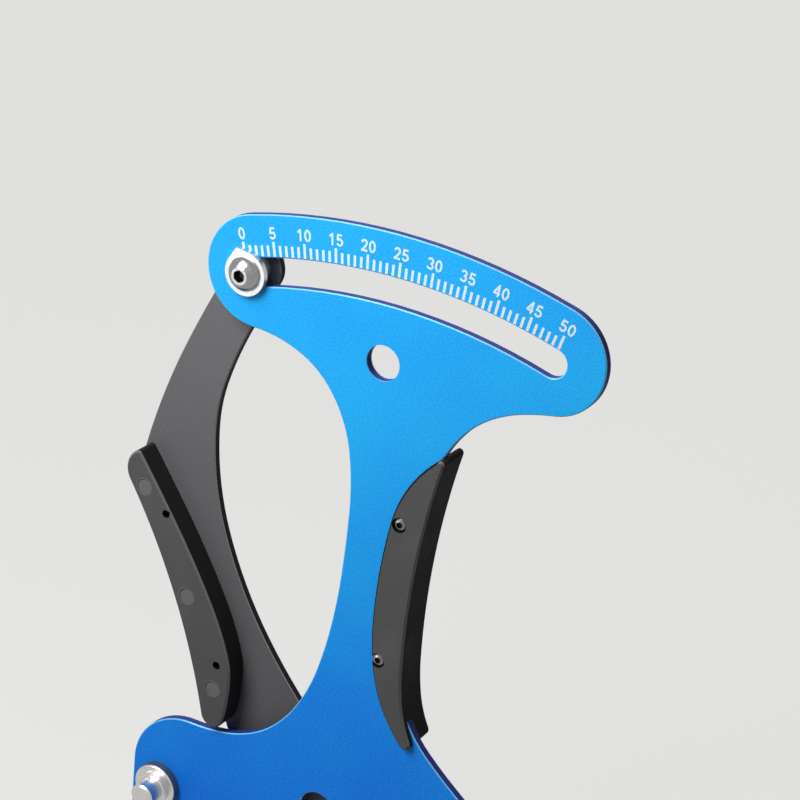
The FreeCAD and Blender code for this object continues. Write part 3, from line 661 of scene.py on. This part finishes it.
class METER_OT_scale(bpy.types.Operator):
    """Print the scale marks and their numbers on the plate"""
    bl_idname = "meter.scale"
    bl_label = "Scale"

    def marks(self, sizes):
        """Corners of all marks at once: radius from foot to top, +-half a width along the
        slot, and two depths; every fifth mark is longer."""
        number = np.arange(MARKS + 1)
        top = np.where(number % MARK_GROUP == 0, sizes.mark_long, sizes.mark_short)
        radius = SLOT_R + np.stack([np.full(len(number), sizes.mark_foot), top], axis=1)
        radial = polar(1.0, scale_angle(number)) - PIVOT
        across = np.cross(radial, (0.0, 1.0, 0.0))[:, None, None, None, :]
        side = np.array((-0.5, 0.5))[None, None, :, None, None] * sizes.mark_width
        depth = np.array((INK_ROOT, -sizes.ink_thickness))[None, None, None, :, None]
        return (PIVOT + radius[:, :, None, None, None] * radial[:, None, None, None, :]
                + side * across + depth * np.array((0.0, 1.0, 0.0)))

    def number(self, text, angle, sizes):
        """One number as points and faces: its right runs along the slot, its up along the
        radius. A point (u, v) of a numeral goes to radius r + v and u along the slot. Each
        stroke lies on a layer of its own, so that no two tops are in one plane."""
        strokes, height, points, faces = pen_strokes(), sizes.number_height, [], []
        radial = polar(1.0, angle) - PIVOT
        across = np.cross((0.0, 1.0, 0.0), radial)
        foot = SLOT_R + sizes.number_place - height / 2
        for place, numeral in enumerate(text):
            shift = (place - (len(text) - 1) / 2) * sizes.number_pitch
            for layer, path in enumerate(strokes[numeral]):
                edges = pen_edges(path * height, sizes.pen * height)
                top = -sizes.ink_thickness - layer * INK_LAYER
                ring = ((edges[0], INK_ROOT), (edges[1], INK_ROOT), (edges[1], top),
                        (edges[0], top))
                placed = np.stack([PIVOT + (foot + edge[:, 1:]) * radial
                                   + (edge[:, :1] + shift * height) * across
                                   + np.array((0.0, depth, 0.0)) for edge, depth in ring],
                                  axis=1)
                start = sum(len(p) for p in points)
                points.append(placed.reshape(-1, 3))
                faces += [[start + v for v in face] for face in tube_faces(len(path), 4)]
        return np.concatenate(points), faces

    def execute(self, context):
        sizes, colours = context.scene.meter_sizes, context.scene.meter_colours
        ink = printed("white_ink", colours.ink)
        corners = self.marks(sizes)
        box = np.array([[0, 1, 3, 2], [4, 6, 7, 5], [0, 4, 5, 1], [2, 3, 7, 6], [0, 2, 6, 4],
                        [1, 5, 7, 3]])
        faces = (box[None] + 8 * np.arange(len(corners))[:, None, None]).reshape(-1, 4)
        finished_mesh("scale_marks", corners, faces.tolist(), ink, "frame",
                      False)
        points, faces = [], []
        for value in range(0, MARKS + 1, MARK_GROUP):
            placed, made = self.number(str(value), scale_angle(value), sizes)
            start = sum(len(p) for p in points)
            points.append(placed)
            faces += [[start + v for v in face] for face in made]
        finished_mesh("scale_numbers", np.concatenate(points), faces, ink, "frame",
                      False)
        return {"FINISHED"}


class METER_OT_torsion_spring(bpy.types.Operator):
    """Wind the torsion spring"""
    bl_idname = "meter.torsion_spring"
    bl_label = "Torsion spring"

    def path(self, sizes, front, rise):
        """Straight arm, coil, straight arm. On the coil the angle grows steadily, and the
        depth grows by the pitch times the turns, a little slower at both ends: with t the
        share of the angle, the rise is h (0.94 t + 0.06 t^2 (3 - 2 t)). Each arm leaves the
        coil along its tangent."""
        angle = np.linspace(COIL_FROM, COIL_TO, COIL_ROWS)
        t = (angle - COIL_FROM) / (COIL_TO - COIL_FROM)
        coil = polar(sizes.coil_radius, angle,
                     front + rise * (0.94 * t + 0.06 * t * t * (3 - 2 * t)))
        step = np.linspace(1, 0, ARM_ROWS)[:-1, None]
        first = coil[0] + FRAME_ARM * step * (polar(1.0, COIL_FROM - 90) - PIVOT)
        last = coil[-1] + LEVER_ARM * step[::-1] * (polar(1.0, COIL_TO + 90) - PIVOT)
        return np.concatenate([first, coil, last])

    def execute(self, context):
        sizes = context.scene.meter_sizes
        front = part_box("torsion_spring")[0].y + sizes.wire_radius
        rise = sizes.coil_pitch * (COIL_TO - COIL_FROM) / 360
        path = self.path(sizes, front, rise)
        points = wire_surface(path, sizes.wire_radius, sizes.wire_sides)
        faces = tube_faces(len(path), sizes.wire_sides)
        wire = drawn_wire("drawn_spring_wire", context.scene.meter_colours.wire)
        spring = finished_mesh("spring_coil_and_arms", points, faces, wire, None)
        start, end = PIVOT.copy(), PIVOT.copy()
        start[1], end[1] = front, front + rise
        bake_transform(spring)
        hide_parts("torsion_spring")
        return {"FINISHED"}


class METER_OT_stage(bpy.types.Operator):
    """Set the floor, the soft lights and the camera"""
    bl_idname = "meter.stage"
    bl_label = "Stage"

    def floor(self, colour):
        """A wide floor under the foot of the meter. It glows in its own colour where it is
        seen or mirrored, keeps a share of the shadows, and throws little light back."""
        low, half = CAD_BOX[0].z - FLOOR_GAP, FLOOR_HALF
        corners = np.array([(-half, -half, low), (half, -half, low), (half, half, low),
                            (-half, half, low)])
        finish = Finish("pale_floor", Roughness=0.85, Specular_IOR_Level=0.0)
        shade = toned(colour, FLOOR_SHADE)
        cloud = finish.noise(60.0, 2.0)
        finish.set("Base Color", finish.mix(shade, toned(shade, 0.98), cloud))
        glow = finish.node("ShaderNodeEmission", {}, {"Color": (*colour, 1.0), "Strength": 1.0})
        surface = Value(finish, finish.shader.outputs[0])
        seen = finish.node("ShaderNodeMixShader", {},
                           {0: finish.seen_rays() * FLOOR_GLOW, 1: surface, 2: glow})
        finish.tree.links.new(seen.socket, finish.tree.nodes["Material Output"].inputs[0])
        floor = finished_mesh("floor", corners, [[0, 1, 2, 3]], finish.material, None)

    def surroundings(self, scene, colour):
        """A dim even world that is as pale as the floor where it is seen or mirrored."""
        scene.world = scene.world or bpy.data.worlds.new("world")
        scene.world.use_nodes = True
        sky = Shading(scene.world.node_tree, "Background")
        sky.shader.inputs["Color"].default_value = (*colour, 1.0)
        sky.set("Strength", sky.seen_rays() * WORLD_SEEN + WORLD_LIGHT)

    def light(self, scene, name, place, target, size, power, matt):
        """A square soft lamp that points at a target. Where it isn't for matt surfaces, only
        mirroring ones show it."""
        lamp = bpy.data.lights.new(name, "AREA")
        lamp.size, lamp.energy = size, power
        holder = bpy.data.objects.new(name, lamp)
        way = Vector(target) - Vector(place)
        holder.location = place
        holder.rotation_euler = way.to_track_quat("-Z", "Y").to_euler()
        holder.visible_camera = False
        holder.visible_diffuse = matt
        scene.collection.objects.link(holder)

    def camera(self, scene):
        """A camera that looks from its place, with its right and up directions in the view."""
        camera = bpy.data.cameras.new("camera")
        camera.lens, camera.sensor_width = CAMERA_LENS, CAMERA_SENSOR
        camera.clip_start, camera.clip_end = CAMERA_CLIP
        holder = bpy.data.objects.new("camera", camera)
        right = Vector(CAMERA_RIGHT).normalized()
        back = right.cross(Vector(CAMERA_UP)).normalized()
        axes = Matrix((right, back.cross(right), back)).transposed().to_4x4()
        holder.matrix_world = Matrix.Translation(CAMERA_PLACE) @ axes
        scene.collection.objects.link(holder)
        scene.camera = holder

    def execute(self, context):
        scene = context.scene
        self.floor(scene.meter_colours.floor)
        for lamp in LAMPS:
            self.light(scene, *lamp)
        self.camera(scene)
        self.surroundings(scene, scene.meter_colours.floor)
        scene.view_settings.view_transform = "Standard"
        return {"FINISHED"}


class METER_PT_pieces(bpy.types.Panel):
    """Lists the pieces of the meter and the values behind them"""
    bl_idname = "METER_PT_pieces"
    bl_label = "Tension meter"
    bl_space_type = "VIEW_3D"
    bl_region_type = "UI"
    bl_category = "Tension meter"

    def draw(self, context):
        for operator in OPERATORS:
            self.layout.operator(operator.bl_idname)
        for group in (context.scene.meter_sizes, context.scene.meter_colours):
            box = self.layout.box()
            for name in group.__annotations__:
                box.prop(group, name)


OPERATORS = (METER_OT_body_plate, METER_OT_lever, METER_OT_grips, METER_OT_posts,
             METER_OT_pivot, METER_OT_pointer, METER_OT_scale, METER_OT_torsion_spring,
             METER_OT_stage)
CLASSES = (MeterColours, MeterSizes, *OPERATORS, METER_PT_pieces)


def register():
    for cls in CLASSES:
        bpy.utils.register_class(cls)
    bpy.types.Scene.meter_colours = PointerProperty(type=MeterColours)
    bpy.types.Scene.meter_sizes = PointerProperty(type=MeterSizes)


def unregister():
    del bpy.types.Scene.meter_sizes
    del bpy.types.Scene.meter_colours
    for cls in reversed(CLASSES):
        bpy.utils.unregister_class(cls)


def main():
    register()
    bpy.ops.meter.body_plate()
    bpy.ops.meter.lever()
    bpy.ops.meter.grips()
    bpy.ops.meter.posts()
    bpy.ops.meter.pivot()
    bpy.ops.meter.pointer()
    bpy.ops.meter.scale()
    bpy.ops.meter.torsion_spring()
    bpy.ops.meter.stage()


if __name__ == "__main__":
    main()
